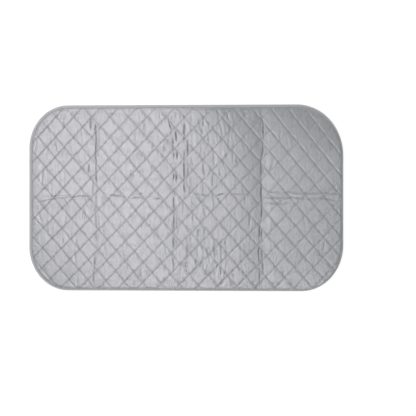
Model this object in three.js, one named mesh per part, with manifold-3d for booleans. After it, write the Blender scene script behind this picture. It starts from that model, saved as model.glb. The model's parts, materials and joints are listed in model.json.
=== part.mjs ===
// A quilted ironing pad: a soft flat mat that is laid on a table to iron on.
// A silver coated cover, a wadding and a backing cloth are sewn together along a diamond lattice of seams,
// and a folded tape binds their edges all the way round.
// The pad packs away along three crosswise fold lines, so each layer is four panels that turn on those lines.
// X runs along the pad, Y across it toward the rear edge, Z up, and the underside lies at Z = 0.
// All lengths are in millimetres and all angles in degrees.

import * as THREE from "three";
import { mergeVertices } from "three/addons/utils/BufferGeometryUtils.js";
import Module from "manifold-3d";

const wasm = await Module();
wasm.setup();

// Outline of the finished pad.
const LENGTH = 850;
const WIDTH = 450;
const CORNER_RADIUS = 110;
const CORNER_STEPS = 8;

// Fold lines, measured along X from the pad's centre, and the slit that keeps two panels apart there.
const FOLD_LEFT_X = -243;
const FOLD_MIDDLE_X = -26;
const FOLD_RIGHT_X = 208;
const FOLD_SLIT = 0.6;

// Thicknesses of the two cloths and the tape, and the clearance between any two layers.
const COVER_CLOTH = 0.4;
const BACKING_CLOTH = 0.4;
const TAPE = 0.5;
const LAYER_CLEARANCE = 0.3;

// Wadding where the binding clamps it, and how far a puff rises above the seams round it.
const CLAMPED_WADDING = 0.5;
const PUFF_RISE = 2.2;

// The seams lie a little above the clamped edge of the cover.
const SEAM_STAND = 0.1;

// How far the tape reaches in over both faces, and the run in which the puffs rise beside it.
const BINDING_WIDTH = 8;
const DRAWN_IN_RUN = 7;
const DRAWN_IN_STEPS = 1;

// Width of the step by which the backing cloth rises off the table into the binding.
const BACKING_STEP = 1.5;

// Quilting: spacing of the parallel seams, how far the lattice is turned off 45 degrees,
// one point where two seams cross, and the flank of a puff as a width and a share of its rise.
const SEAM_PITCH = 35.3;
const LATTICE_TURN = -1.6;
const CROSSING_X = 15;
const CROSSING_Y = 16;
const PUFF_FLANK = 8;
const FLANK_SHARE = 0.8;

// Levels of the layers, from the table up.
const backingTop = BACKING_CLOTH;
const rimBackingLow = TAPE + LAYER_CLEARANCE;
const rimBackingTop = rimBackingLow + BACKING_CLOTH;
const waddingLow = backingTop + LAYER_CLEARANCE;
const rimWaddingLow = rimBackingTop + LAYER_CLEARANCE;
const rimWaddingTop = rimWaddingLow + CLAMPED_WADDING;
const rimCoverLow = rimWaddingTop + LAYER_CLEARANCE;
const rimCoverTop = rimCoverLow + COVER_CLOTH;
const upperTapeLow = rimCoverTop + LAYER_CLEARANCE;
const edgeTop = upperTapeLow + TAPE;
const seamTop = rimCoverTop + SEAM_STAND;
const padTop = seamTop + PUFF_RISE;

// Insets from the outline.
const rimInset = TAPE + LAYER_CLEARANCE;
const fieldInset = BINDING_WIDTH + LAYER_CLEARANCE;
const stepInset = fieldInset + BACKING_STEP;
const waddingStepInset = stepInset + LAYER_CLEARANCE;

// Cutting tools reach this far past what they cut.
const OVERCUT = 10;

const silverCloth = () => new THREE.MeshStandardMaterial({ color: 0xc4c4c8, roughness: 0.5, metalness: 0.4 });
const fibre = () => new THREE.MeshStandardMaterial({ color: 0xf0efea, roughness: 1, metalness: 0 });
const plainCloth = () => new THREE.MeshStandardMaterial({ color: 0xb4b5b8, roughness: 0.9, metalness: 0 });
const greyTape = () => new THREE.MeshStandardMaterial({ color: 0x97989c, roughness: 0.8, metalness: 0 });

// The pad's outline, drawn in by an inset.
function outline(inset) {
  const halfLength = LENGTH / 2 - inset;
  const halfWidth = WIDTH / 2 - inset;
  const radius = Math.max(CORNER_RADIUS - inset, TAPE);
  const farX = halfLength - radius;
  const farY = halfWidth - radius;
  const quarter = Math.PI / 2;
  const shape = new THREE.Shape();
  shape.moveTo(halfLength, -farY);
  shape.absarc(farX, farY, radius, 0, quarter, false);
  shape.absarc(-farX, farY, radius, quarter, 2 * quarter, false);
  shape.absarc(-farX, -farY, radius, 2 * quarter, 3 * quarter, false);
  shape.absarc(farX, -farY, radius, 3 * quarter, 4 * quarter, false);
  return shape;
}

function solidOf(geometry) {
  const bare = geometry.clone();
  bare.deleteAttribute("normal");
  bare.deleteAttribute("uv");
  const joined = mergeVertices(bare);
  const mesh = new wasm.Mesh({
    numProp: 3,
    vertProperties: Float32Array.from(joined.attributes.position.array),
    triVerts: Uint32Array.from(joined.index.array),
  });
  return new wasm.Manifold(mesh);
}

// A flat plate of the pad's outline between two levels.
function plate(inset, low, top) {
  const options = { depth: top - low, bevelEnabled: false, curveSegments: CORNER_STEPS };
  const geometry = new THREE.ExtrudeGeometry(outline(inset), options);
  geometry.translate(0, 0, low);
  return solidOf(geometry);
}

// The drawn-in form of the padded field: it slopes up from the binding to the level of the crests.
// The offset shrinks it on every side, which gives the next layer below.
function crown(offset) {
  const depth = padTop + OVERCUT;
  const options = {
    depth: depth,
    bevelEnabled: true,
    bevelThickness: PUFF_RISE + LAYER_CLEARANCE,
    bevelSize: DRAWN_IN_RUN,
    bevelOffset: -DRAWN_IN_RUN,
    bevelSegments: DRAWN_IN_STEPS,
    curveSegments: CORNER_STEPS,
  };
  const geometry = new THREE.ExtrudeGeometry(outline(fieldInset + offset), options);
  geometry.translate(0, 0, seamTop - offset - depth);
  return solidOf(geometry);
}

// A slab over the whole lattice, flat below, with a puff in every diamond between the seams.
// The drop lowers its upper face, and a puff without shoulders is a plain pyramid.
function quiltedSlab(low, drop, shouldered) {
  const seam = seamTop - drop;
  const crest = padTop - drop;
  const shoulder = seam + PUFF_RISE * FLANK_SHARE;
  const turn = THREE.MathUtils.degToRad(LATTICE_TURN - 45);
  const first = new THREE.Vector2(Math.cos(turn), Math.sin(turn)).multiplyScalar(SEAM_PITCH);
  const second = first.clone().rotateAround(new THREE.Vector2(), Math.PI / 2);
  const crossing = new THREE.Vector2(CROSSING_X, CROSSING_Y);
  const reach = Math.ceil((LENGTH / 2 + WIDTH / 2 + crossing.length()) / SEAM_PITCH);
  const corners = [];

  const spot = (i, j, level) => {
    const flat = crossing.clone().addScaledVector(first, i).addScaledVector(second, j);
    return new THREE.Vector3(flat.x, flat.y, level);
  };
  const square = (i, j, inset, level) => [
    spot(i + inset, j + inset, level),
    spot(i + 1 - inset, j + inset, level),
    spot(i + 1 - inset, j + 1 - inset, level),
    spot(i + inset, j + 1 - inset, level),
  ];
  const face = (...loop) => {
    for (let k = 1; k < loop.length - 1; k += 1) {
      corners.push(loop[0], loop[k], loop[k + 1]);
    }
  };
  const slope = (from, to) => {
    for (let k = 0; k < 4; k += 1) {
      const next = (k + 1) % 4;
      face(from[k], from[next], to[next], to[k]);
    }
  };
  const tip = (from, peak) => {
    for (let k = 0; k < 4; k += 1) {
      face(from[k], from[(k + 1) % 4], peak);
    }
  };

  for (let i = -reach; i < reach; i += 1) {
    for (let j = -reach; j < reach; j += 1) {
      const base = square(i, j, 0, low);
      const seams = square(i, j, 0, seam);
      const peak = spot(i + 0.5, j + 0.5, crest);
      if (shouldered) {
        const shoulders = square(i, j, PUFF_FLANK / SEAM_PITCH, shoulder);
        slope(seams, shoulders);
        tip(shoulders, peak);
      } else {
        tip(seams, peak);
      }
      face(base[3], base[2], base[1], base[0]);
      if (j === -reach) face(base[0], base[1], seams[1], seams[0]);
      if (i === reach - 1) face(base[1], base[2], seams[2], seams[1]);
      if (j === reach - 1) face(base[2], base[3], seams[3], seams[2]);
      if (i === -reach) face(base[3], base[0], seams[0], seams[3]);
    }
  }
  return solidOf(new THREE.BufferGeometry().setFromPoints(corners));
}

// Everything under the padded field's upper face, or under the face that lies the drop below it.
function paddedField(low, drop, shouldered) {
  return quiltedSlab(low, drop, shouldered).intersect(crown(drop));
}

// The cover: a quilted shell with a flat brim that goes into the binding.
// Each puff is a plain pyramid inside, so the cloth is as thin as it is named at the seams and the crests.
function wholeCover() {
  const brim = plate(rimInset, rimCoverLow, rimCoverTop);
  const outside = paddedField(rimCoverLow, 0, true).add(brim);
  return outside.subtract(paddedField(-OVERCUT, COVER_CLOTH, false));
}

// The wadding: a flat batt on the backing, up to the level of the seams, that thins to a clamped brim.
function wholeWadding() {
  const brim = plate(rimInset, rimWaddingLow, rimWaddingTop);
  const batt = plate(waddingStepInset, waddingLow, seamTop - COVER_CLOTH - LAYER_CLEARANCE);
  return brim.add(batt);
}

// The backing cloth: flat on the table, with a small step up into the binding.
function wholeBacking() {
  const block = plate(rimInset, 0, rimBackingTop);
  const bed = plate(stepInset, backingTop, rimBackingTop + OVERCUT);
  const under = plate(-OVERCUT, -OVERCUT, rimBackingLow).subtract(plate(fieldInset, -OVERCUT, edgeTop));
  return block.subtract(bed).subtract(under);
}

// The binding: one tape folded round the edge, with a flange on each face.
function wholeBinding() {
  const block = plate(0, 0, edgeTop);
  const window = plate(BINDING_WIDTH, -OVERCUT, edgeTop + OVERCUT);
  const slot = plate(TAPE, TAPE, upperTapeLow);
  return block.subtract(window).subtract(slot);
}

// A block between two values of X and two of Y, taller than the pad.
function block(fromX, toX, fromY, toY) {
  const height = 2 * (padTop + OVERCUT);
  const geometry = new THREE.BoxGeometry(toX - fromX, toY - fromY, height);
  geometry.translate((fromX + toX) / 2, (fromY + toY) / 2, 0);
  return solidOf(geometry);
}

function meshOf(name, solid, material) {
  const result = solid.getMesh();
  const geometry = new THREE.BufferGeometry();
  geometry.setAttribute("position", new THREE.BufferAttribute(result.vertProperties, 3));
  geometry.setIndex(new THREE.BufferAttribute(result.triVerts, 1));
  geometry.computeVertexNormals();
  const mesh = new THREE.Mesh(geometry, material);
  mesh.name = name;
  return mesh;
}

const endX = LENGTH / 2 + OVERCUT;
const endY = WIDTH / 2 + OVERCUT;
const halfSlit = FOLD_SLIT / 2;
const panels = [
  { name: "left_end", fromX: -endX, toX: FOLD_LEFT_X - halfSlit, isEnd: true },
  { name: "left_middle", fromX: FOLD_LEFT_X + halfSlit, toX: FOLD_MIDDLE_X - halfSlit, isEnd: false },
  { name: "right_middle", fromX: FOLD_MIDDLE_X + halfSlit, toX: FOLD_RIGHT_X - halfSlit, isEnd: false },
  { name: "right_end", fromX: FOLD_RIGHT_X + halfSlit, toX: endX, isEnd: true },
];

const cover = wholeCover();
const wadding = wholeWadding();
const backing = wholeBacking();
const binding = wholeBinding();

const group = new THREE.Group();
group.name = "ironing_pad";
for (const { name, fromX, toX, isEnd } of panels) {
  const panel = new THREE.Group();
  panel.name = name;
  const stretch = block(fromX, toX, -endY, endY);
  panel.add(meshOf(`backing_${name}`, backing.intersect(stretch), plainCloth()));
  panel.add(meshOf(`wadding_${name}`, wadding.intersect(stretch), fibre()));
  panel.add(meshOf(`cover_${name}`, cover.intersect(stretch), silverCloth()));
  if (isEnd) {
    panel.add(meshOf(`binding_${name}`, binding.intersect(stretch), greyTape()));
  } else {
    const front = block(fromX, toX, -endY, 0);
    const rear = block(fromX, toX, 0, endY);
    panel.add(meshOf(`binding_${name}_front`, binding.intersect(front), greyTape()));
    panel.add(meshOf(`binding_${name}_rear`, binding.intersect(rear), greyTape()));
  }
  group.add(panel);
}

export default group;
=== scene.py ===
import json
import math

import bmesh
import bpy
import numpy as np
from mathutils import Matrix, Vector, noise


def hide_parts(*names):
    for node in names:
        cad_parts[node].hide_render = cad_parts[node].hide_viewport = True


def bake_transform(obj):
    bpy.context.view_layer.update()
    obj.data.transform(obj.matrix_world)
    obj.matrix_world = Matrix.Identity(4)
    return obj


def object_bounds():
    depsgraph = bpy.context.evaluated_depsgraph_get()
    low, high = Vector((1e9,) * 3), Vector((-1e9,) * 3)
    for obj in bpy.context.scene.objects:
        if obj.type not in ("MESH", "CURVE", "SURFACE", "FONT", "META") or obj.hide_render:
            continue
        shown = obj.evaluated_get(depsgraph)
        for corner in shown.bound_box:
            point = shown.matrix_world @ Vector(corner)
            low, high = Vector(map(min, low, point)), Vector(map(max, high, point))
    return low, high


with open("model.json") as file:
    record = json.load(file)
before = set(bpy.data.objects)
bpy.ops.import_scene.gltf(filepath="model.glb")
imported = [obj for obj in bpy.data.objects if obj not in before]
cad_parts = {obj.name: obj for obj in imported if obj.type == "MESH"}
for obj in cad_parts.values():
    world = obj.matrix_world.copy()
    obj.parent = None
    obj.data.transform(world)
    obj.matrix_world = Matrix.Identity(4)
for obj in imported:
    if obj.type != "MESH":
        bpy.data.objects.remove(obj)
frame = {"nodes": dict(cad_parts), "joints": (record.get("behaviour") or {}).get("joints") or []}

cad_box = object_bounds()
scene = bpy.context.scene
scene.view_settings.view_transform = "Standard"


# Camera. The pad is seen from overhead in a picture that is a tenth narrower than the pad really is, so the
# camera leans to the pad's right by just that much, behind a lens so long that opposite edges stay parallel.
FRAME_PIXELS = 416
OUTLINE_PIXELS = (313.9, 185.8)
PAD_CENTRE_PIXEL = (185.65, 197.8)
CAMERA_DISTANCE = 30.0
PAD_LENGTH, PAD_WIDTH = (cad_box[1] - cad_box[0])[:2]
pixel_size = PAD_WIDTH / OUTLINE_PIXELS[1]
lean = math.acos(OUTLINE_PIXELS[0] * pixel_size / PAD_LENGTH)
picture_right = Vector((math.cos(lean), 0, -math.sin(lean)))
picture_up = Vector((0, 1, 0))
toward_camera = Vector((math.sin(lean), 0, math.cos(lean)))
picture_centre = picture_right * (FRAME_PIXELS / 2 - PAD_CENTRE_PIXEL[0]) * pixel_size
picture_centre -= picture_up * (FRAME_PIXELS / 2 - PAD_CENTRE_PIXEL[1]) * pixel_size
lens = bpy.data.cameras.new("camera")
lens.lens = lens.sensor_width * CAMERA_DISTANCE / (FRAME_PIXELS * pixel_size)
lens.clip_end = 2 * CAMERA_DISTANCE
camera = bpy.data.objects.new("camera", lens)
scene.collection.objects.link(camera)
camera.matrix_world = Matrix((picture_right, picture_up, toward_camera)).transposed().to_4x4()
camera.location = picture_centre + toward_camera * CAMERA_DISTANCE
scene.camera = camera


# Backing cloth. A plain grey woven cloth that lies on the table, cut to the pad's outline and drawn up a
# little along the quilting seams. Each layer of the pad is made whole, then parted into three stretches,
# left, centre and right, because a stretch can bend over only one of the three folds.
CORNER_RADII = {"rear_left": 0.105, "rear_right": 0.124, "front_right": 0.112, "front_left": 0.107}
SEAM_PITCH = 0.0353
LATTICE_TURN = math.radians(-46.6)
CROSSING = np.array((0.015, 0.016))
# How far the seams of the two families are drawn aside, in millimetres: the powers of x down and of y across,
# with x and y counted in these lengths.
PULL_LENGTHS = (0.4, 0.2)
SEAM_PULLS = (((3.1, -1.5, -1.2), (5.5, -2.2, 0), (6.2, 0.7, 0), (-1.25, 0.8, 0), (-2.45, 4.3, 0)),
              ((3.7, 3.4, -0.2), (9.5, 5.2, 0), (4.2, -7.1, 0), (-6.6, -8.85, 0), (-5.5, 1.05, 0)))
LAYER_INSET = 0.0010
SPARE_DIAMONDS = 0.7
BEND_MARGIN = 0.003
BACKING_STEPS = 10
BACKING_CUTS = 2
BACKING_DRAW = 0.0007
BACKING_DRAW_FADE = 0.16
BACKING_EDGE = 0.0007
BACKING_EDGE_WIDTH = 0.011
BACKING_EDGE_RUN = 0.003
BACKING_THICKNESS = 0.0004
BACKING_THREAD = 0.0009
BACKING_PATCH = 0.03
BACKING_GREYS = (0.40, 0.40, 0.42, 1), (0.52, 0.52, 0.54, 1)
LATTICE = np.array(((math.cos(LATTICE_TURN), -math.sin(LATTICE_TURN)),
                    (math.sin(LATTICE_TURN), math.cos(LATTICE_TURN))))
joints = {joint["name"]: joint for joint in frame["joints"]}
fold_x = {name: joint["pos_m"][0] for name, joint in joints.items()}
left_parting = (fold_x["left_fold"] + fold_x["middle_fold"]) / 2
right_parting = (fold_x["middle_fold"] + fold_x["right_fold"]) / 2
# Each stretch: where it begins and ends, the fold in it, and the bodies right and left of that fold.
STRETCHES = {
    "left": (-PAD_LENGTH, left_parting, "left_fold", "left_middle", "left_end"),
    "centre": (left_parting, right_parting, "middle_fold", "right_middle", "left_middle"),
    "right": (right_parting, PAD_LENGTH, "right_fold", "right_end", "right_middle"),
}


def pull(points):
    """How far the sewing has drawn each place on the cloths away from a true square lattice."""
    x, y = (points[:, :2] / PULL_LENGTHS).T
    shift = [np.polynomial.polynomial.polyval2d(x, y, np.array(family) / 1000) for family in SEAM_PULLS]
    return np.stack(shift, axis=1) @ LATTICE.T


def depth_from_edge(points):
    """How far in from the pad's outline each point lies, and the direction straight out from there."""
    sides = np.where(points[:, :2] < 0, -1.0, 1.0)
    rear, right = sides[:, 1] > 0, sides[:, 0] > 0
    radius = np.where(rear, np.where(right, CORNER_RADII["rear_right"], CORNER_RADII["rear_left"]),
                      np.where(right, CORNER_RADII["front_right"], CORNER_RADII["front_left"]))
    beyond = np.abs(points[:, :2]) - (np.array((PAD_LENGTH, PAD_WIDTH)) / 2 - radius[:, None])
    corner = np.maximum(beyond, 0)
    reach = np.hypot(corner[:, 0], corner[:, 1])
    depth = radius - reach - np.minimum(beyond.max(axis=1), 0)
    nearest_edge = np.eye(2)[beyond.argmax(axis=1)]
    round_corner = (beyond > 0).all(axis=1)[:, None]
    out = np.where(round_corner, corner / np.maximum(reach, 1e-9)[:, None], nearest_edge)
    return depth, out * sides


def lattice_place(laid):
    """Each place on the flat cloth, counted in diamonds along the two families of seams."""
    return (laid[:, :2] - CROSSING) @ LATTICE / SEAM_PITCH


def puff_share(laid):
    """0 on the seams and 1 at the middle of each diamond."""
    return np.abs(np.sin(math.pi * lattice_place(laid))).prod(axis=1)


def coordinates(mesh):
    flat = np.empty(len(mesh.vertices) * 3, np.float32)
    mesh.vertices.foreach_get("co", flat)
    return flat.reshape(-1, 3).astype(float)


def set_coordinates(mesh, points):
    mesh.vertices.foreach_set("co", points.astype(np.float32).ravel())
    mesh.update()


def finished_mesh(name, shape):
    mesh = bpy.data.meshes.new(name)
    shape.to_mesh(mesh)
    shape.free()
    return mesh


def cloth_blank(name, steps):
    """A flat cloth with its threads along the seams, cut to the pad's outline."""
    span = math.ceil((PAD_LENGTH + PAD_WIDTH) / math.sqrt(8) / SEAM_PITCH + SPARE_DIAMONDS)
    segments = 2 * span * steps
    blank = bmesh.new()
    bmesh.ops.create_grid(blank, x_segments=segments, y_segments=segments, size=span * SEAM_PITCH)
    turn = Matrix.Translation((*CROSSING, 0)) @ Matrix.Rotation(LATTICE_TURN, 4, "Z")
    bmesh.ops.transform(blank, matrix=turn, verts=blank.verts)
    laid = blank.verts.layers.float_vector.new("laid")
    places = np.array([vert.co[:] for vert in blank.verts])
    for vert, shift in zip(blank.verts, pull(places).tolist()):
        vert[laid] = vert.co
        vert.co.xy += Vector(shift)
    depth, _ = depth_from_edge(np.array([vert.co[:] for vert in blank.verts]))
    margin = LAYER_INSET - SEAM_PITCH / steps / 2
    outside = [vert for vert, inward in zip(blank.verts, depth) if inward < margin]
    bmesh.ops.delete(blank, geom=outside, context="VERTS")
    hem = [vert for vert in blank.verts if vert.is_boundary]
    depth, out = depth_from_edge(np.array([vert.co[:] for vert in hem]))
    for vert, inward, direction in zip(hem, depth, out):
        vert.co.xy += Vector(direction) * (inward - LAYER_INSET)
    return finished_mesh(name, blank)


def laid_places(mesh):
    """Each point's place on the flat cloth before it was sewn, which the seams and the weave follow."""
    flat = np.empty(len(mesh.vertices) * 3, np.float32)
    mesh.attributes["laid"].data.foreach_get("vector", flat)
    return flat.reshape(-1, 3).astype(float)


def part_along_seams(mesh, layer, cuts):
    """The three stretches of a whole layer, parted along the seams nearest to the middles of the panels, with
    that many cuts across each face near the folds, so that they bend smoothly."""
    corners = np.empty(len(mesh.loops), np.int32)
    mesh.loops.foreach_get("vertex_index", corners)
    middles = laid_places(mesh)[corners].reshape(-1, 4, 3).mean(axis=1)
    diamonds = (np.floor(lattice_place(middles)) + 0.5) * SEAM_PITCH @ LATTICE.T + CROSSING
    pieces = {}
    for name, (low, high, fold, *_) in STRETCHES.items():
        stretch = bmesh.new()
        stretch.from_mesh(mesh)
        others = [face for face, x in zip(stretch.faces, diamonds[:, 0]) if not low <= x < high]
        bmesh.ops.delete(stretch, geom=others, context="FACES")
        if cuts:
            x, _, reach = joints[fold]["pos_m"]
            bent = [edge for edge in stretch.edges
                    if all(abs(vert.co.x - x) < reach + BEND_MARGIN for vert in edge.verts)]
            bmesh.ops.subdivide_edges(stretch, edges=bent, cuts=cuts, use_grid_fill=True)
        for edge in stretch.edges:
            edge.smooth = not edge.is_boundary
        pieces[name] = add_piece(f"{layer}_{name}", stretch)
    return pieces


def add_piece(name, shape):
    for face in shape.faces:
        face.smooth = True
    piece = bpy.data.objects.new(name, finished_mesh(name, shape))
    scene.collection.objects.link(piece)
    return piece


def add_thickness(piece, thickness):
    cloth = piece.modifiers.new("cloth", "SOLIDIFY")
    cloth.thickness = thickness
    cloth.offset = -1


def bend_over_fold(piece):
    """Moves the stretch's placement into its mesh points and leaves it unbent."""
    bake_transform(piece)


def stands_for(layer, stretch):
    _, _, _, right_body, left_body = STRETCHES[stretch]
    nodes = [name for name in frame["nodes"] if name.startswith(layer)
             and (right_body in name or left_body in name)]
    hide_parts(*nodes)


class Shade:
    """A shader socket that sums can be written with."""

    def __init__(self, tree, socket=None):
        self.tree = tree
        self.socket = socket

    def node(self, kind, settings=None, inputs=None, output=0):
        made = self.tree.nodes.new(kind)
        for name, value in (settings or {}).items():
            setattr(made, name, value)
        for name, value in (inputs or {}).items():
            if isinstance(value, Shade):
                self.tree.links.new(value.socket, made.inputs[name])
            else:
                made.inputs[name].default_value = value
        return Shade(self.tree, made.outputs[output])

    def sum_with(self, operation, *others):
        return self.node("ShaderNodeMath", {"operation": operation}, dict(enumerate((self, *others))))

    def __add__(self, other):
        return self.sum_with("ADD", other)

    def __sub__(self, other):
        return self.sum_with("SUBTRACT", other)

    def __rsub__(self, other):
        return self * -1 + other

    def __mul__(self, other):
        return self.sum_with("MULTIPLY", other)

    def __abs__(self):
        return self.sum_with("ABSOLUTE")

    __radd__ = __add__
    __rmul__ = __mul__


def new_finish(name, **constants):
    """A material whose shader has these constants, with the start of its sums and its shader's sockets."""
    material = bpy.data.materials.new(name)
    material.use_nodes = True
    shader = material.node_tree.nodes["Principled BSDF"]
    for socket, value in constants.items():
        shader.inputs[socket.replace("_", " ")].default_value = value
    return material, Shade(material.node_tree), shader.inputs


def link(value, socket):
    value.tree.links.new(value.socket, socket)


def laid_place(shade):
    """The point's place on the pad as it lies flat, and its three parts."""
    place = shade.node("ShaderNodeAttribute", {"attribute_name": "laid"}, output="Vector")
    parts = [place.node("ShaderNodeSeparateXYZ", inputs={0: place}, output=axis) for axis in range(3)]
    return place, *parts


def ripple(along, wavelength):
    return (along * (2 * math.pi / wavelength)).sum_with("SINE")


def plain_weave(x, y, thread):
    """Threads that pass over and under each other, from -1 to 1."""
    return ripple(x, thread) * ripple(y, thread)


def mottle(place, size, detail=2.0):
    """Uneven patches of about that size, from 0 to 1."""
    return place.node("ShaderNodeTexNoise", inputs={"Vector": place, "Scale": 1 / size, "Detail": detail})


def blend_colours(share, first, second):
    return share.node("ShaderNodeMix", {"data_type": "RGBA"}, {0: share, 6: first, 7: second}, output=2)


def bump(height, strength, distance, below=None):
    """A fine relief of that depth, laid over the one below it if there is one."""
    inputs = {"Height": height, "Strength": strength, "Distance": distance}
    if below:
        inputs["Normal"] = below
    return height.node("ShaderNodeBump", inputs=inputs)


backing_mesh = cloth_blank("backing", BACKING_STEPS)
points = coordinates(backing_mesh)
depth, _ = depth_from_edge(points)
drawn_up = BACKING_DRAW * np.exp(-puff_share(laid_places(backing_mesh)) / BACKING_DRAW_FADE)
at_edge = np.clip((BACKING_EDGE_WIDTH - depth) / BACKING_EDGE_RUN, 0, 1)
points[:, 2] = np.maximum(drawn_up, BACKING_EDGE * at_edge)
set_coordinates(backing_mesh, points)
backing_mesh.flip_normals()
backing_finish, shade, sockets = new_finish("plain_backing_cloth", Roughness=0.92, Specular_IOR_Level=0.2)
place, x, y, _ = laid_place(shade)
threads = plain_weave(x, y, BACKING_THREAD)
patches = mottle(place, BACKING_PATCH)
link(blend_colours(patches * 0.6 + threads * 0.2 + 0.1, *BACKING_GREYS), sockets["Base Color"])
link(bump(threads, strength=0.3, distance=0.0001), sockets["Normal"])
for stretch, piece in part_along_seams(backing_mesh, "backing", BACKING_CUTS).items():
    add_thickness(piece, BACKING_THICKNESS)
    piece.data.materials.append(backing_finish)
    stands_for("backing", stretch)
    bend_over_fold(piece)
    width = piece.dimensions.x


# Wadding. A batt of crimped polyester fibre between the two cloths. The seams and the folds squeeze it thin,
# it swells into the puffs between them, and its edge is pressed flat inside the binding.
WADDING_STEPS = 6
WADDING_CUTS = 3
WADDING_TOP = 0.0021
WADDING_SWELL = 0.0005
WADDING_INSET = 0.001
HEM_TOLERANCE = 0.0005
PRESSED_EDGE, EDGE_SWELL_RUN = 0.009, 0.006
PRESSED_FOLD, FOLD_SWELL_RUN = 0.013, 0.010
SQUEEZED_BATT = 0.0008
FULL_BATT = 0.0019
FIBRE_SIZE = 0.0012
FIBRE_WHITES = (0.72, 0.72, 0.69, 1), (0.93, 0.93, 0.91, 1)


def note_values(mesh, name, values):
    """Keeps a value for each point of a mesh under a name, for its material or its thickness."""
    mesh.attributes.new(name, "FLOAT", "POINT").data.foreach_set("value", values.astype(np.float32))


wadding_mesh = cloth_blank("wadding", WADDING_STEPS)
points = coordinates(wadding_mesh)
depth, out = depth_from_edge(points)
at_hem = depth < LAYER_INSET + HEM_TOLERANCE
points[:, :2] -= out * (WADDING_INSET * at_hem)[:, None]
swell = puff_share(laid_places(wadding_mesh)) * np.clip((depth - PRESSED_EDGE) / EDGE_SWELL_RUN, 0, 1)
for fold in fold_x.values():
    swell *= np.clip((np.abs(points[:, 0] - fold) - PRESSED_FOLD) / FOLD_SWELL_RUN, 0, 1)
points[:, 2] = WADDING_TOP + WADDING_SWELL * swell
set_coordinates(wadding_mesh, points)
note_values(wadding_mesh, "swell", swell)
wadding_finish, shade, sockets = new_finish("fibre_wadding", Roughness=1.0, Specular_IOR_Level=0.1)
place, *_ = laid_place(shade)
fibres = mottle(place, FIBRE_SIZE, detail=6.0)
link(blend_colours(fibres, *FIBRE_WHITES), sockets["Base Color"])
link(bump(fibres, strength=0.8, distance=0.0006), sockets["Normal"])
for stretch, piece in part_along_seams(wadding_mesh, "wadding", WADDING_CUTS).items():
    fullness = piece.vertex_groups.new(name="fullness")
    for vert, share in enumerate(piece.data.attributes["swell"].data):
        fullness.add([vert], share.value, "REPLACE")
    batt = piece.modifiers.new("batt", "SOLIDIFY")
    batt.thickness = FULL_BATT
    batt.vertex_group = "fullness"
    batt.thickness_vertex_group = SQUEEZED_BATT / FULL_BATT
    batt.offset = -1
    piece.data.materials.append(wadding_finish)
    stands_for("wadding", stretch)
    bend_over_fold(piece)


# Cover. A woven cloth with a silver coating, sewn down to the layers below along the diamond seams, with the
# wadding puffing it up between them. It is kept folded, so it has creases along the folds and short wrinkles.
COVER_STEPS = 10
COVER_THICKNESS = 0.0004
SEAM_LEVEL = 0.0026
SEWN_WIDTH = 0.2
CREST_RISE = 0.0015
CREST_SHAPE = 0.7
FULLNESS = 2.0
LOOSE_SEAM = 0.6
LOOSE_SEAM_RUN = 0.004
LOOSE_FROM, LOOSE_OVER = (0.215, -0.13), (0.03, 0.05)
SEAM_SHOULDER = 0.00034
SHOULDER_PLACE, SHOULDER_WIDTH = 0.0042, 0.0018
DRAWN_FROM, DRAWN_OVER, LEAST_DRAWN = (-0.25, -0.02), (0.15, 0.06), (0, 0.3)
FLATTEST, FULLEST = 0.12, 1.25
FOLD_DIP, FOLD_DIP_RUN = 0.4, 0.04
UNSEWN_EDGE = 0.0015
UNSEWN_RUN = 0.008
BINDING_WIDTH = 0.008
RIGHT_TAPE_HIDDEN, FRONT_TAPE_HIDDEN, LEAST_TAPE = 0.68, 0.5, 0.32
RISE_RUN = 0.007
GATHER_SIZE, GATHERING = 0.007, 0.7
BRIM_OVERLAP = 0.001
LEAST_RISE = 1e-6
CLOTH_GROWTH = 0.018
CLOTH_PRESSURE = 22.0
CLOTH_FRAMES = 20
CREASE_TAPER = 0.012
CREASE_EDGE, RIPPLE_EDGE = 0.35, 0.5
RAISED_PLACE, RAISED_WIDTH = 1.9, 0.8
CREASE_JITTER = 0.0014
JITTERED_DIAMONDS = 64
WRINKLES = 900
WRINKLE_REACH = np.array((0.42, 0.22))
WRINKLED_BAND = (0.06, 0.05)
WRINKLE_SLANT = 0.22
PROFILE_STEP = 0.001
SEAM_SHADOW = 0.004
PUCKER_SIZE, PUCKERED_SHADOW = 0.009, 0.12
COVER_THREAD = 0.0008
SILVERS = (0.43, 0.43, 0.45, 1), (0.55, 0.55, 0.572, 1)
# Painted shade: the silver darkens towards this grey on the seams, in the creases and along the fine ridges,
# where shade falls in them.
SHADED_SILVER = (0.22, 0.22, 0.235, 1)
CREASE_SHADE, RIDGE_SHADE, DARKEST_SHADE = 0.60, 0.06, 0.75
# How dark the painted shade along each family of seams is along the pad, standing in for how the light falls
# across them: places, and the strength there.
RISING_SHADE, RISING_END = ((-0.36, 0.42), (-0.16, 0.20)), ((0.17, 1.0), (0.26, 0.0))
FALLING_SHADE, FALLING_RETURN = ((-0.30, 0.16), (-0.20, 0.05)), ((0.02, 0.0), (0.12, 0.10))
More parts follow.
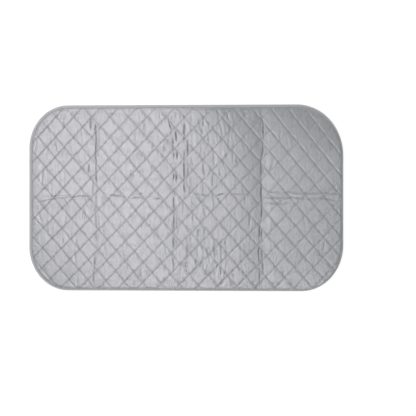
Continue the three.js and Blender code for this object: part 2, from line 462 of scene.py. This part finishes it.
# Creases from folding: each one's width in millimetres, its strength, and the bent line that it follows.
CREASES = (
    (1.5, 0.9, ((-258, 203), (-258, 162))), (1.5, 1.1, ((-246, 190), (-242, 125), (-243, 30))),
    (1.5, 0.7, ((-262, 92), (-262, 56))), (1.5, 0.7, ((-241, 30), (-243, -25), (-242, -104))),
    (1.5, 0.9, ((-245, -115), (-248, -212))), (1.5, 0.5, ((-234, 190), (-235, 90))),
    (1.5, 0.5, ((-251, 60), (-252, -30))), (1.5, 0.4, ((-234, -40), (-236, -110))),
    (1.5, 0.8, ((-50, 200), (-34, 160))), (1.5, 0.7, ((-42, 180), (-31, 150))),
    (1.6, 1.5, ((-23, 168), (-22, 135))), (1.6, 1.5, ((-23, 122), (-22, 92))),
    (1.6, 1.4, ((-24, 66), (-22, 34))),
    (1.5, 0.9, ((-31, 150), (-31, 92))), (1.5, 0.9, ((-31, 72), (-30, 36))),
    (1.5, 0.7, ((-26, 212), (-26, 190))), (1.5, 0.7, ((-14, 212), (-12, 190))),
    (1.6, 1.2, ((-2, 186), (-2, 130))), (1.6, 1.0, ((-3, 120), (-3, 10))), (1.6, 0.8, ((7, 150), (8, 40))),
    (1.5, 0.7, ((16, 52), (16, 34))),
    (1.5, 0.6, ((10, 74), (12, 60))), (1.5, 0.75, ((-30, 8), (-29, -36), (-30, -130))),
    (1.5, 0.7, ((-35, -134), (-29, -176))), (1.5, 0.5, ((-21, -20), (-22, -120))),
    (1.6, 1.2, ((209, 205), (212, 125), (205, 86), (205, 48))), (1.5, 0.9, ((209, 90), (209, 50))),
    (1.6, 1.4, ((208, 44), (206, -50))), (1.6, 1.2, ((202, -54), (202, -106))),
    (1.5, 1.0, ((208, -70), (208, -104))),
    (1.5, 1.0, ((201, -110), (202, -158))), (1.5, 0.7, ((202, -158), (203, -205))),
    (1.5, 0.7, ((210, -110), (211, -190))))
LENGTHWISE_CREASES = (
    (1.8, 0.5, ((-408, -12), (-351, -1), (-250, 5))), (1.8, 0.4, ((-390, 2), (-300, 6))),
    (1.5, 0.5, ((-212, 8), (-160, 2))), (1.5, 0.5, ((-143, 9), (-105, 11))),
    (1.5, 0.5, ((-150, -1), (-110, 3))),
    (1.5, 0.5, ((-88, 0), (-58, -4))), (1.5, 0.8, ((80, 5), (114, 10))), (1.5, 0.4, ((20, 8), (70, 4))),
    (1.5, 0.4, ((120, 12), (180, 6))), (2.4, 0.38, ((222, 14), (299, 12), (420, 9))),
    (2.4, 0.40, ((214, -1), (288, -1), (414, -5))), (2.4, 0.35, ((206, -14), (290, -13))))
# How the folded panels rise and fall along the pad, shown only as a relief in the cover's finish: places in
# millimetres, and the slopes there in rows across the pad.
SLOPE_PLACES = (-425, -280, -244, -242, -210, -60, -27, -25, 10, 50, 110, 150, 206, 210, 250, 300, 425)
PANEL_SLOPES = {
    -0.17: (0, 0, -0.015, 0.015, 0, 0, -0.015, 0.015, 0.01, 0.01, 0.02, 0, -0.025, 0.03, 0.03, 0.04, 0.05),
    -0.08: (0, 0, -0.015, 0.015, 0, 0, -0.015, 0.015, 0.02, 0.03, 0.03, -0.02, -0.045, 0.04,
            0.03, 0.025, 0.025),
    0.0: (0, 0, -0.015, 0.015, 0, 0, -0.015, 0.015, 0.02, 0.03, 0.03, -0.02, -0.06, 0.04, 0.025, 0.02, 0.02),
    0.08: (0.01, 0.01, 0, 0.015, 0, 0.02, 0, 0.015, 0.03, 0.04, 0.02, -0.03, -0.075, 0.05, 0.03, 0.03, 0.03),
    0.17: (0.03, 0.02, 0, 0.02, 0.02, 0.03, 0, 0.02, 0.015, 0, -0.03, -0.04, -0.06, 0.03, 0.01, 0, 0),
}
# Broad soft ripples beside the folds, in the same way.
RIPPLES = (
    (4.5, 0.60, ((20, 150), (22, -60))), (5.0, 0.80, ((52, 120), (54, -150))),
    (4.5, 0.80, ((79, 150), (78, -40))),
    (4.5, 0.60, ((98, 120), (100, 20))), (4.0, 0.55, ((35, 40), (36, -180))),
    (4.5, 0.60, ((80, -60), (84, -190))),
    (4.0, 0.40, ((-12, -30), (-12, -200))), (4.0, 0.40, ((110, -30), (112, -150))),
    (4.5, 0.35, ((-226, 180), (-226, -180))),
    (4.5, 0.35, ((-276, 120), (-274, -60))), (4.5, 0.25, ((222, 180), (220, -160))),
    (4.0, 0.30, ((140, 60), (140, -120))),
    (4.0, 0.35, ((-330, 80), (-328, -30))), (4.0, 0.30, ((-160, 130), (-162, 10))),
    (4.0, 0.30, ((-100, -40), (-98, -170))))


def tape_width(out):
    """How much of the tape shows on the upper face: half along the front edge, a third along the right."""
    right, front = np.clip(out[:, 0], 0, 1), np.clip(-out[:, 1], 0, 1)
    shown = 1 - RIGHT_TAPE_HIDDEN * right ** 1.5 - FRONT_TAPE_HIDDEN * front ** 1.5
    return BINDING_WIDTH * np.clip(shown, LEAST_TAPE, 1)


def as_modified(piece):
    """A new mesh of the piece as its modifiers shape it."""
    return bpy.data.meshes.new_from_object(piece.evaluated_get(bpy.context.evaluated_depsgraph_get()))


cover_mesh = cloth_blank("cover", COVER_STEPS)
points = coordinates(cover_mesh)
depth, out = depth_from_edge(points)
laid = laid_places(cover_mesh)
under_tape = depth < np.maximum(tape_width(out) - UNSEWN_EDGE, 2 * LAYER_INSET)
share = puff_share(laid) * np.clip((depth - tape_width(out) + UNSEWN_EDGE) / UNSEWN_RUN, 0, 1)
points[:, 2] = SEAM_LEVEL + CREST_RISE * share ** CREST_SHAPE
set_coordinates(cover_mesh, points)
cover_whole = bpy.data.objects.new("cover_whole", cover_mesh)
scene.collection.objects.link(cover_whole)
sewn_down = cover_whole.vertex_groups.new(name="sewn_down")
on_seam = np.abs(lattice_place(laid) - np.round(lattice_place(laid))).min(axis=1) < SEWN_WIDTH / COVER_STEPS
sewn_down.add(np.flatnonzero(on_seam | under_tape).tolist(), 1.0, "REPLACE")
puffing = cover_whole.modifiers.new("puffing", "CLOTH")
puffing.settings.quality = 4
puffing.settings.mass = 0.05
puffing.settings.bending_stiffness = 0.5
puffing.settings.vertex_group_mass = "sewn_down"
puffing.settings.shrink_min = -CLOTH_GROWTH
puffing.settings.use_pressure = True
puffing.settings.uniform_pressure_force = CLOTH_PRESSURE
puffing.settings.effector_weights.gravity = 0
puffing.collision_settings.use_collision = False
puffing.point_cache.frame_end = CLOTH_FRAMES
for moment in range(1, CLOTH_FRAMES + 1):
    scene.frame_set(moment)
settled = cover_whole.evaluated_get(bpy.context.evaluated_depsgraph_get())
points = coordinates(settled.data)
cover_whole.modifiers.remove(puffing)
scene.frame_set(1)
set_coordinates(cover_mesh, points)
smoother = cover_whole.modifiers.new("smoother", "SUBSURF")
smoother.levels = smoother.render_levels = 1
finer = as_modified(cover_whole)
bpy.data.objects.remove(cover_whole)
points = coordinates(finer)
depth, out = depth_from_edge(points)


def smooth_noise(points, size, seed):
    """A soft random field over the pad, from about -1 to 1, with features of that size."""
    spots = points[:, :2].tolist()
    return np.array([noise.noise(Vector((x / size, y / size, seed))) for x, y in spots])


def near_line(points, line):
    """Each point's distance from a bent line, and a share of 1 along the line that falls to 0 at its ends."""
    line = np.array(line) / 1000
    runs = np.diff(line, axis=0)
    lengths = np.hypot(*runs.T)
    starts = np.concatenate(((0,), np.cumsum(lengths)))
    nearest = np.full(len(points), np.inf)
    along = np.zeros(len(points))
    for corner, run, length, start in zip(line, runs, lengths, starts):
        share = np.clip((points[:, :2] - corner) @ run / length ** 2, 0, 1)
        off = np.hypot(*(points[:, :2] - corner - share[:, None] * run).T)
        along = np.where(off < nearest, start + share * length, along)
        nearest = np.minimum(nearest, off)
    return nearest, np.clip(np.minimum(along, starts[-1] - along) / CREASE_TAPER, 0, 1)


scatter = np.random.default_rng(7)
laid = laid_places(finer)
diamond = np.floor(lattice_place(laid)).astype(int) % JITTERED_DIAMONDS
# The creases waver in long and short waves, and are stronger and weaker by turns.
jagged = points.copy()
jagged[:, 0] += (0.0020 * smooth_noise(points * (0.2, 1, 1), 0.024, 2)
                 + 0.0008 * smooth_noise(points, 0.009, 4))
jagged[:, 1] += (0.0020 * smooth_noise(points * (1, 0.2, 1), 0.030, 6)
                 + 0.0010 * smooth_noise(points, 0.011, 8))
broken = np.clip(0.95 + 0.8 * smooth_noise(points, 0.016, 10), 0.35, 1)
flattened = np.zeros(len(points))


def press_in(lines, points, share, edge):
    """Presses creases into the cover, with a raised edge on both sides of each."""
    for width, strength, line in lines:
        off, middle = near_line(points, line)
        off /= width / 1000
        raised = edge * np.exp(-((off - RAISED_PLACE) / RAISED_WIDTH) ** 2)
        flattened[:] += strength * middle * share * (np.exp(-off ** 2) - raised)


press_in(LENGTHWISE_CREASES, jagged, broken, CREASE_EDGE)
jitter = scatter.uniform(-CREASE_JITTER, CREASE_JITTER, (JITTERED_DIAMONDS, JITTERED_DIAMONDS, 2))
jagged[:, :2] += jitter[diamond[:, 0], diamond[:, 1]]
broken *= np.clip(1.8 * puff_share(laid), 0.45, 1)
press_in(CREASES, jagged, broken, CREASE_EDGE)
note_values(finer, "creased", np.clip(flattened, 0, 1))
press_in(RIPPLES, jagged, broken, RIPPLE_EDGE)
x, y = points[:, 0], points[:, 1]
# Short wrinkles scattered over the pad, running nearly straight across it, every third one near or just right
# of the middle fold.
for number in range(WRINKLES):
    middle = scatter.uniform(-WRINKLE_REACH, WRINKLE_REACH)
    if number % 3 == 0:
        middle[0] = scatter.normal(*WRINKLED_BAND)
    slant = scatter.normal(0, WRINKLE_SLANT)
    half_length = scatter.uniform(0.006, 0.020)
    width = scatter.uniform(0.0022, 0.0042)
    strength = scatter.uniform(-0.5, 0.7) * (0.4 if middle[0] > fold_x["right_fold"] else 1)
    dx, dy = x - middle[0], y - middle[1]
    along = (dy * math.cos(slant) - dx * math.sin(slant)) / half_length
    across = (dx * math.cos(slant) + dy * math.sin(slant)) / width
    near = (np.abs(along) < 2) & (np.abs(across) < 4)
    flattened[near] += strength * np.exp(-along[near] ** 2) * (
        np.exp(-across[near] ** 2) - 0.4 * np.exp(-(np.abs(across[near]) - 1.8) ** 2))
rise = CREST_RISE * np.tanh(FULLNESS * np.clip(points[:, 2] - SEAM_LEVEL, 0, None) / CREST_RISE)
# The seams that rise to the right lie loose in the right end, where the cloth fills them.
loose = np.clip((points[:, :2] - LOOSE_FROM) / LOOSE_OVER, 0, 1).prod(axis=1)
off_falling = SEAM_PITCH * (lattice_place(laid) - np.round(lattice_place(laid)))[:, 1]
filled = 1 - np.exp(-(off_falling / LOOSE_SEAM_RUN) ** 2)
rise = np.maximum(rise, CREST_RISE * LOOSE_SEAM * loose * filled)
# The cloth is drawn up into a shoulder beside the seams that fall to the right, most of all in the rear half.
drawn = np.clip((points[:, :2] - DRAWN_FROM) / DRAWN_OVER, LEAST_DRAWN, 1).prod(axis=1)
shoulder = np.exp(-((off_falling - SHOULDER_PLACE) / SHOULDER_WIDTH) ** 2)
rise += SEAM_SHOULDER * drawn * shoulder * np.clip(2 * puff_share(laid), 0, 1)
rise *= np.clip(1 - flattened, FLATTEST, FULLEST)
for fold in fold_x.values():
    rise *= 1 - FOLD_DIP * np.clip(1 - np.abs(x - fold) / FOLD_DIP_RUN, 0, 1) ** 2
lengthwise = np.linspace(-PAD_LENGTH / 2, PAD_LENGTH / 2, round(PAD_LENGTH / PROFILE_STEP) + 1)
profiles = np.array([np.cumsum(np.interp(lengthwise * 1000, SLOPE_PLACES, slopes)) * PROFILE_STEP
                     for slopes in PANEL_SLOPES.values()])
across = np.polynomial.polynomial.polyfit(list(PANEL_SLOPES), profiles, 3)
sag = sum(np.interp(x, lengthwise, term) * y ** power for power, term in enumerate(across))
note_values(finer, "sag", sag)
# Beside the binding the puffs come down to the seam in small gathers.
foot = points[:, :2] + out * depth[:, None]
gathers = smooth_noise(foot, GATHER_SIZE, 0)
run = RISE_RUN * (1 + GATHERING * gathers) * tape_width(out) / BINDING_WIDTH
clear_of_tape = np.clip(depth - tape_width(out) + BRIM_OVERLAP, 0, None)
brim = CREST_RISE * (1 - np.exp(-clear_of_tape / run)) + LEAST_RISE
rise = (np.maximum(rise, LEAST_RISE) ** -4 + brim ** -4) ** -0.25
points[:, 2] = SEAM_LEVEL + rise
set_coordinates(finer, points)


def noted_values(shade, name):
    """The values that note_values has kept on the mesh."""
    return shade.node("ShaderNodeAttribute", {"attribute_name": name}, output="Fac")


def fade(place, start, end, curve="LINEAR"):
    """A value that changes from one place to another, each given with the value there."""
    limits = {"From Min": start[0], "From Max": end[0], "To Min": start[1], "To Max": end[1]}
    return place.node("ShaderNodeMapRange", {"interpolation_type": curve}, {"Value": place, **limits})


def seam_shadow(x, y, family, puckers):
    """1 on one family of the quilting seams, fading to 0 beside them."""
    across = LATTICE[:, family] / SEAM_PITCH
    along = (x - CROSSING[0]) * across[0] + (y - CROSSING[1]) * across[1]
    off = abs(along - along.sum_with("ROUND")) + puckers
    return fade(off, (0.0, 1.0), (SEAM_SHADOW / SEAM_PITCH, 0.0), "SMOOTHSTEP")


cover_finish, shade, sockets = new_finish("silver_coated_cloth", Metallic=0.55, IOR=1.5)
place, x, y, _ = laid_place(shade)
threads = plain_weave(x, y, COVER_THREAD)
patches = mottle(place, 0.025, detail=4.0)
grain = mottle(place, 0.0025, detail=3.0)
puckers = (mottle(place, PUCKER_SIZE, detail=1.0) - 0.5) * PUCKERED_SHADOW
rising, falling = (seam_shadow(x, y, family, puckers) for family in (0, 1))
seams = (rising + falling).sum_with("MINIMUM", 1.0)
# Painted shade along the seams, stronger on one family or the other along the pad, standing in for how the
# light falls on them.
rising_shade_strength = fade(x, *RISING_SHADE) * fade(x, *RISING_END)
falling_shade_strength = fade(x, *FALLING_SHADE) + fade(x, *FALLING_RETURN)
creases = noted_values(shade, "creased")
tall = place.node("ShaderNodeVectorMath", {"operation": "MULTIPLY"}, {0: place, 1: (1, 0.2, 1)})
folds = mottle(tall, 0.0045, detail=1.0)
ridges = 1 - abs(folds - 0.5) * 14
ridges = ridges.sum_with("MAXIMUM", 0.0) * mottle(place, 0.03)
tone = patches * 0.5 + grain * 0.4 + threads * 0.06
silver = blend_colours(tone, *SILVERS)
# Painted shade: the colour darkens on the seams, in the creases and along the fine ridges, where shade would
# fall.
painted_shade = rising * rising_shade_strength + falling * falling_shade_strength + creases * CREASE_SHADE + ridges * RIDGE_SHADE
painted_shade = painted_shade.sum_with("MINIMUM", DARKEST_SHADE)
link(blend_colours(painted_shade, silver, SHADED_SILVER), sockets["Base Color"])
link(0.27 + grain * 0.12 + seams * 0.15, sockets["Roughness"])
relief = bump(noted_values(shade, "sag"), strength=1.0, distance=1.0)
relief = bump(1 - ridges * 0.6 - creases * 1.2, strength=0.7, distance=0.0008, below=relief)
relief = bump(threads * 0.3 + grain, strength=0.25, distance=0.0003, below=relief)
link(relief, sockets["Normal"])
for stretch, piece in part_along_seams(finer, "cover", 0).items():
    add_thickness(piece, COVER_THICKNESS)
    piece.data.materials.append(cover_finish)
    stands_for("cover", stretch)
    bend_over_fold(piece)


# Quilting seams. Grey thread in a lockstitch, one thread showing on the cover and the other on the backing,
# sewn on many needles at once in straight lines that cross to make the diamonds.
STITCH_PITCH = 0.004
STITCH_SIZE = Vector((0.0017, 0.00032, 0.00026))
UPPER_STITCH_LEVEL = SEAM_LEVEL + 0.00012
UNDER_STITCH_LEVEL = 0.0005
SEAM_END = 0.001
PLY_LENGTH = 0.0011
THREAD_GREYS = (0.26, 0.26, 0.275, 1), (0.42, 0.42, 0.44, 1)
thread_finish, shade, sockets = new_finish("grey_thread", Roughness=0.6)
place, x, y, _ = laid_place(shade)
ply = ripple(x + y, PLY_LENGTH)
link(blend_colours(mottle(place, 0.004) * 0.8 + ply * 0.1, *THREAD_GREYS), sockets["Base Color"])
link(bump(ply, strength=0.5, distance=0.0001), sockets["Normal"])


def keep_flat_place(mesh):
    """Notes where each point of a sewn thread or tape lies before the pad is folded."""
    laid = mesh.attributes.new("laid", "FLOAT_VECTOR", "POINT")
    laid.data.foreach_set("vector", coordinates(mesh).astype(np.float32).ravel())


def add_threads(name, sewing, middles, level):
    """A row of stitches at some height, parted between its stitches into the three stretches."""
    for stretch, (low, high, *_) in STRETCHES.items():
        shape = bmesh.new()
        shape.from_mesh(sewing)
        others = [vert for vert, x in zip(shape.verts, middles[:, 0]) if not low <= x < high]
        bmesh.ops.delete(shape, geom=others, context="VERTS")
        bmesh.ops.translate(shape, vec=(0, 0, level), verts=shape.verts)
        piece = add_piece(f"{name}_{stretch}", shape)
        keep_flat_place(piece.data)
        piece.data.materials.append(thread_finish)
        bend_over_fold(piece)


def one_stitch(size):
    shape = bmesh.new()
    bmesh.ops.create_icosphere(shape, subdivisions=1, radius=1, matrix=Matrix.Diagonal((*size, 1)))
    return finished_mesh("stitch", shape)


span = math.ceil(PAD_LENGTH / SEAM_PITCH / 2) + 3
row_stitches = round(2 * span * SEAM_PITCH / STITCH_PITCH)
sewing_field = bpy.data.objects.new("sewing_field", one_stitch(STITCH_SIZE))
scene.collection.objects.link(sewing_field)
repeats = ("row", row_stitches, (STITCH_PITCH, 0, 0)), ("rows", 2 * span + 1, (0, SEAM_PITCH, 0))
for name, count, step in repeats:
    repeat = sewing_field.modifiers.new(name, "ARRAY")
    repeat.use_relative_offset = False
    repeat.use_constant_offset = True
    repeat.constant_offset_displace = step
    repeat.count = count
seam_field = as_modified(sewing_field)
bpy.data.objects.remove(sewing_field)
points = coordinates(seam_field)
middles = np.stack((np.round(points[:, 0] / STITCH_PITCH) * STITCH_PITCH,
                    np.round(points[:, 1] / SEAM_PITCH) * SEAM_PITCH), axis=1)
quilting = bmesh.new()
seam_middles = []
for quarter in (0, 1):
    turn = LATTICE if quarter == 0 else LATTICE @ np.array(((0, -1), (1, 0)))
    laid = np.column_stack(((points[:, :2] - span * SEAM_PITCH) @ turn.T + CROSSING, points[:, 2]))
    laid_middles = (middles - span * SEAM_PITCH) @ turn.T + CROSSING
    seams = seam_field.copy()
    laid[:, :2] += pull(laid)
    set_coordinates(seams, laid)
    shape = bmesh.new()
    shape.from_mesh(seams)
    depth, out = depth_from_edge(laid_middles + pull(laid_middles))
    sewn = depth > tape_width(out) - SEAM_END
    unsewn = [vert for vert, kept in zip(shape.verts, sewn) if not kept]
    bmesh.ops.delete(shape, geom=unsewn, context="VERTS")
    shape.to_mesh(seams)
    shape.free()
    quilting.from_mesh(seams)
    seam_middles.append(laid_middles[sewn])
quilting_mesh = finished_mesh("quilting", quilting)
for name, level in (("quilting_thread", UPPER_STITCH_LEVEL), ("quilting_under_thread", UNDER_STITCH_LEVEL)):
    add_threads(name, quilting_mesh, np.concatenate(seam_middles), level)


# Binding. A grey woven tape folded in two over the raw edges of the layers, and sewn through all of them
# along its inner edge, which pulls the tape down a little there.
# The tape's section in millimetres: how far in from the edge, and how high.
BINDING_PROFILE = (
    (8.0, 0.00), (6.2, 0.05), (4.0, 0.00), (1.4, 0.00), (0.5, 0.30), (0.1, 0.95), (0.0, 1.75), (0.1, 2.50),
    (0.5, 3.10), (1.4, 3.45), (3.0, 3.55), (4.8, 3.45), (6.2, 3.15), (7.2, 3.18), (7.8, 3.10), (8.0, 2.90),
    (7.8, 2.75), (6.2, 2.72), (3.0, 3.00), (1.5, 2.85), (0.75, 2.40), (0.6, 1.75), (0.75, 1.00), (1.5, 0.50),
    (4.0, 0.45), (8.0, 0.42))
TAPE_STEP = 0.002
UPPER_HALF = 0.0016
TAPE_TUG, TUG_SIZE = 0.0004, 0.02
TAPE_WAVE, WAVE_SIZE = 0.00012, 0.006
TAPE_RIB = 0.0012
TAPE_GREYS = (0.55, 0.55, 0.565, 1), (0.67, 0.67, 0.685, 1)
# Painted shade: the tape darkens towards this grey along its stitched inner edge, where shade falls beside
# the seam.
STITCH_LINE_SHADE, SHADED_TAPE_GREY = ((0.0050, 0.0), (0.0070, 0.25)), (0.24, 0.24, 0.255, 1)
half_length, half_width = PAD_LENGTH / 2, PAD_WIDTH / 2
radii = [CORNER_RADII[corner] for corner in ("front_right", "rear_right", "rear_left", "front_left")]
corner_signs = ((1, -1), (1, 1), (-1, 1), (-1, -1))
corner_centres = [Vector((x_sign * (half_length - radius), y_sign * (half_width - radius), 0))
                  for radius, (x_sign, y_sign) in zip(radii, corner_signs)]


def run_round_edge(start, step, apart):
    """Carries a shape, made as if the front edge started at the origin, round the whole outline."""
    carried = bmesh.new()
    for side, (centre, radius) in enumerate(zip(corner_centres, radii)):
        turn = Matrix.Rotation(side * math.pi / 2, 4, "Z")
        heading = turn @ Vector((1, 0, 0))
        beginning = corner_centres[side - 1] + turn @ Vector((0, -radii[side - 1], 0))
        straight = (centre - beginning).dot(heading)
        corner_start = beginning + heading * straight
        stages = (beginning, straight, 0), (corner_start, radius * math.pi / 2, math.pi / 2)
        for place, length, angle in stages:
            steps = round(length / step)
            run = bmesh.new()
            run.from_mesh(start)
            bmesh.ops.transform(run, matrix=Matrix.Translation(place) @ turn, verts=run.verts)
            bmesh.ops.spin(run, geom=[*run.verts, *run.edges, *run.faces], cent=centre, axis=(0, 0, 1),
                           angle=angle, dvec=heading * (0 if angle else length / steps),
                           steps=steps - apart, use_duplicate=apart)
            carried.from_mesh(finished_mesh("run", run))
    return carried


profile = bmesh.new()
loop = [profile.verts.new((0, inset / 1000, height / 1000)) for inset, height in BINDING_PROFILE]
for first, second in zip(loop, loop[1:] + loop[:1]):
    profile.edges.new((first, second))
tape = run_round_edge(finished_mesh("profile", profile), TAPE_STEP, False)
bmesh.ops.remove_doubles(tape, verts=tape.verts, dist=0.0001)
bmesh.ops.recalc_face_normals(tape, faces=tape.faces)
tape_mesh = finished_mesh("binding", tape)
points = coordinates(tape_mesh)
depth, out = depth_from_edge(points)
foot = points[:, :2] + out * depth[:, None]
upper = points[:, 2] > UPPER_HALF
tug = TAPE_TUG * smooth_noise(foot, TUG_SIZE, 3) * depth / BINDING_WIDTH
points[:, :2] += out * (tug + upper * depth * (1 - tape_width(out) / BINDING_WIDTH))[:, None]
points[:, 2] += TAPE_WAVE * upper * smooth_noise(foot, WAVE_SIZE, 8)
set_coordinates(tape_mesh, points)
keep_flat_place(tape_mesh)
note_values(tape_mesh, "inset", depth)
binding_finish, shade, sockets = new_finish("grey_binding_tape", Roughness=0.75, Specular_IOR_Level=0.3)
place, x, y, _ = laid_place(shade)
ribs = plain_weave(x + y, x - y, TAPE_RIB)
plain = blend_colours(mottle(place, 0.012) * 0.7 + ribs * 0.15 + 0.1, *TAPE_GREYS)
# Painted shade along the tape's stitched inner edge.
stitch_line_shade = fade(noted_values(shade, "inset"), *STITCH_LINE_SHADE, "SMOOTHSTEP")
link(blend_colours(stitch_line_shade, plain, SHADED_TAPE_GREY), sockets["Base Color"])
link(bump(ribs, strength=0.4, distance=0.0002), sockets["Normal"])
for stretch, (low, high, *_) in STRETCHES.items():
    length = bmesh.new()
    length.from_mesh(tape_mesh)
    for end, way in ((low, -1), (high, 1)):
        bmesh.ops.bisect_plane(length, geom=[*length.verts, *length.edges, *length.faces],
                               plane_co=(end, 0, 0), plane_no=(way, 0, 0), clear_outer=True)
    piece = add_piece(f"binding_{stretch}", length)
    piece.data.materials.append(binding_finish)
    stands_for("binding", stretch)
    bend_over_fold(piece)


# Binding seam. One row of the same thread through the tape, close to its inner edge, on both faces.
BINDING_SEAM_INSET = 0.0064
BINDING_STITCH_PITCH = 0.0035
BINDING_STITCH = Vector((0.0014, 0.00030, 0.00022))
UPPER_BINDING_LEVEL = 0.00318
UNDER_BINDING_LEVEL = 0.0001
stitch_start = one_stitch(BINDING_STITCH)
stitch_start.transform(Matrix.Translation((BINDING_STITCH_PITCH / 2, BINDING_SEAM_INSET, 0)))
binding_sewing = run_round_edge(stitch_start, BINDING_STITCH_PITCH, True)
binding_sewing_mesh = finished_mesh("binding_sewing", binding_sewing)
points = coordinates(binding_sewing_mesh)
depth, out = depth_from_edge(points)
points[:, :2] += out * (depth * (1 - tape_width(out) / BINDING_WIDTH))[:, None]
set_coordinates(binding_sewing_mesh, points)
stitch_points = len(stitch_start.vertices)
middles = np.repeat(points.reshape(-1, stitch_points, 3).mean(axis=1), stitch_points, axis=0)
for name, level in (("binding_thread", UPPER_BINDING_LEVEL), ("binding_under_thread", UNDER_BINDING_LEVEL)):
    add_threads(name, binding_sewing_mesh, middles, level)


# Floor and light. A plain floor that glows, so that it looks white. A large soft lamp hangs high on the pad's
# left, a smaller one stands behind the pad, and the room's walls are brighter low down than high up.
FLOOR_SIZE = 6.0
FLOOR_LEVEL = -0.0004
FLOOR_GREY, SHOWN_FLOOR_GREY = (0.8, 0.8, 0.8, 1), (0.3, 0.3, 0.3, 1)
FLOOR_GLOW = 0.85
WHITE = (1, 1, 1, 1)
WALL_TINT = (0.95, 1, 0.99, 1)
LAMP_TINT = (1, 0.97, 0.98)
ROOM_LIGHT = 0.335
WALL_LIGHT = 0.75
WALL_TOP = 0.6
HIGH_LAMP_POWER = 3.4
REAR_LAMP_POWER = 1.8
floor_shape = bmesh.new()
bmesh.ops.create_grid(floor_shape, x_segments=1, y_segments=1, size=FLOOR_SIZE,
                      matrix=Matrix.Translation((0, 0, FLOOR_LEVEL)))
floor = add_piece("floor", floor_shape)
floor_finish = bpy.data.materials.new("pale_floor")
floor_finish.use_nodes = True
floor_tree = floor_finish.node_tree
floor_tree.nodes.remove(floor_tree.nodes["Principled BSDF"])
shade = Shade(floor_tree)
seen = shade.node("ShaderNodeLightPath", output="Is Camera Ray")
seen = seen + shade.node("ShaderNodeLightPath", output="Is Glossy Ray")
seen = seen + shade.node("ShaderNodeLightPath", output="Is Transmission Ray")
seen = seen.sum_with("MINIMUM", 1.0)
lit = shade.node("ShaderNodeBsdfDiffuse", inputs={"Color": FLOOR_GREY})
shown_lit = shade.node("ShaderNodeBsdfDiffuse", inputs={"Color": SHOWN_FLOOR_GREY})
glow = shade.node("ShaderNodeEmission", inputs={"Color": WHITE, "Strength": FLOOR_GLOW})
shown = shade.node("ShaderNodeAddShader", inputs={0: shown_lit, 1: glow})
link(shade.node("ShaderNodeMixShader", inputs={0: seen, 1: lit, 2: shown}),
     floor_tree.nodes["Material Output"].inputs["Surface"])
floor.data.materials.append(floor_finish)
room = bpy.data.worlds.new("room")
room.use_nodes = True
scene.world = room
shade = Shade(room.node_tree)
direction = shade.node("ShaderNodeTexCoord", output="Generated")
height = direction.node("ShaderNodeSeparateXYZ", inputs={0: direction}, output=2)
low = fade(height, (0.0, 1.0), (WALL_TOP, 0.0))
wall_light = low * WALL_LIGHT + ROOM_LIGHT
walls = shade.node("ShaderNodeBackground", inputs={"Color": WALL_TINT, "Strength": wall_light})
backdrop = shade.node("ShaderNodeBackground", inputs={"Color": WHITE, "Strength": 1.0})
seen = shade.node("ShaderNodeLightPath", output="Is Camera Ray")
link(shade.node("ShaderNodeMixShader", inputs={0: seen, 1: walls, 2: backdrop}),
     room.node_tree.nodes["World Output"].inputs["Surface"])


def add_lamp(name, place, aim, size, power, turn=0.0):
    lamp = bpy.data.lights.new(name, "AREA")
    lamp.shape = "RECTANGLE"
    lamp.size, lamp.size_y = size
    lamp.energy = power
    lamp.color = LAMP_TINT
    stand = bpy.data.objects.new(name, lamp)
    scene.collection.objects.link(stand)
    stand.location = place
    stand.rotation_euler = (Vector(aim) - Vector(place)).to_track_quat("-Z", "Y").to_euler()
    stand.rotation_euler.rotate_axis("Z", turn)


add_lamp("high_lamp", (-0.63, 0.0, 0.95), (-0.155, 0.0, 0), (1.0, 0.42), HIGH_LAMP_POWER, math.radians(35))
add_lamp("rear_lamp", (-0.2, 0.9, 0.6), (0, 0, 0), (0.5, 0.5), REAR_LAMP_POWER)
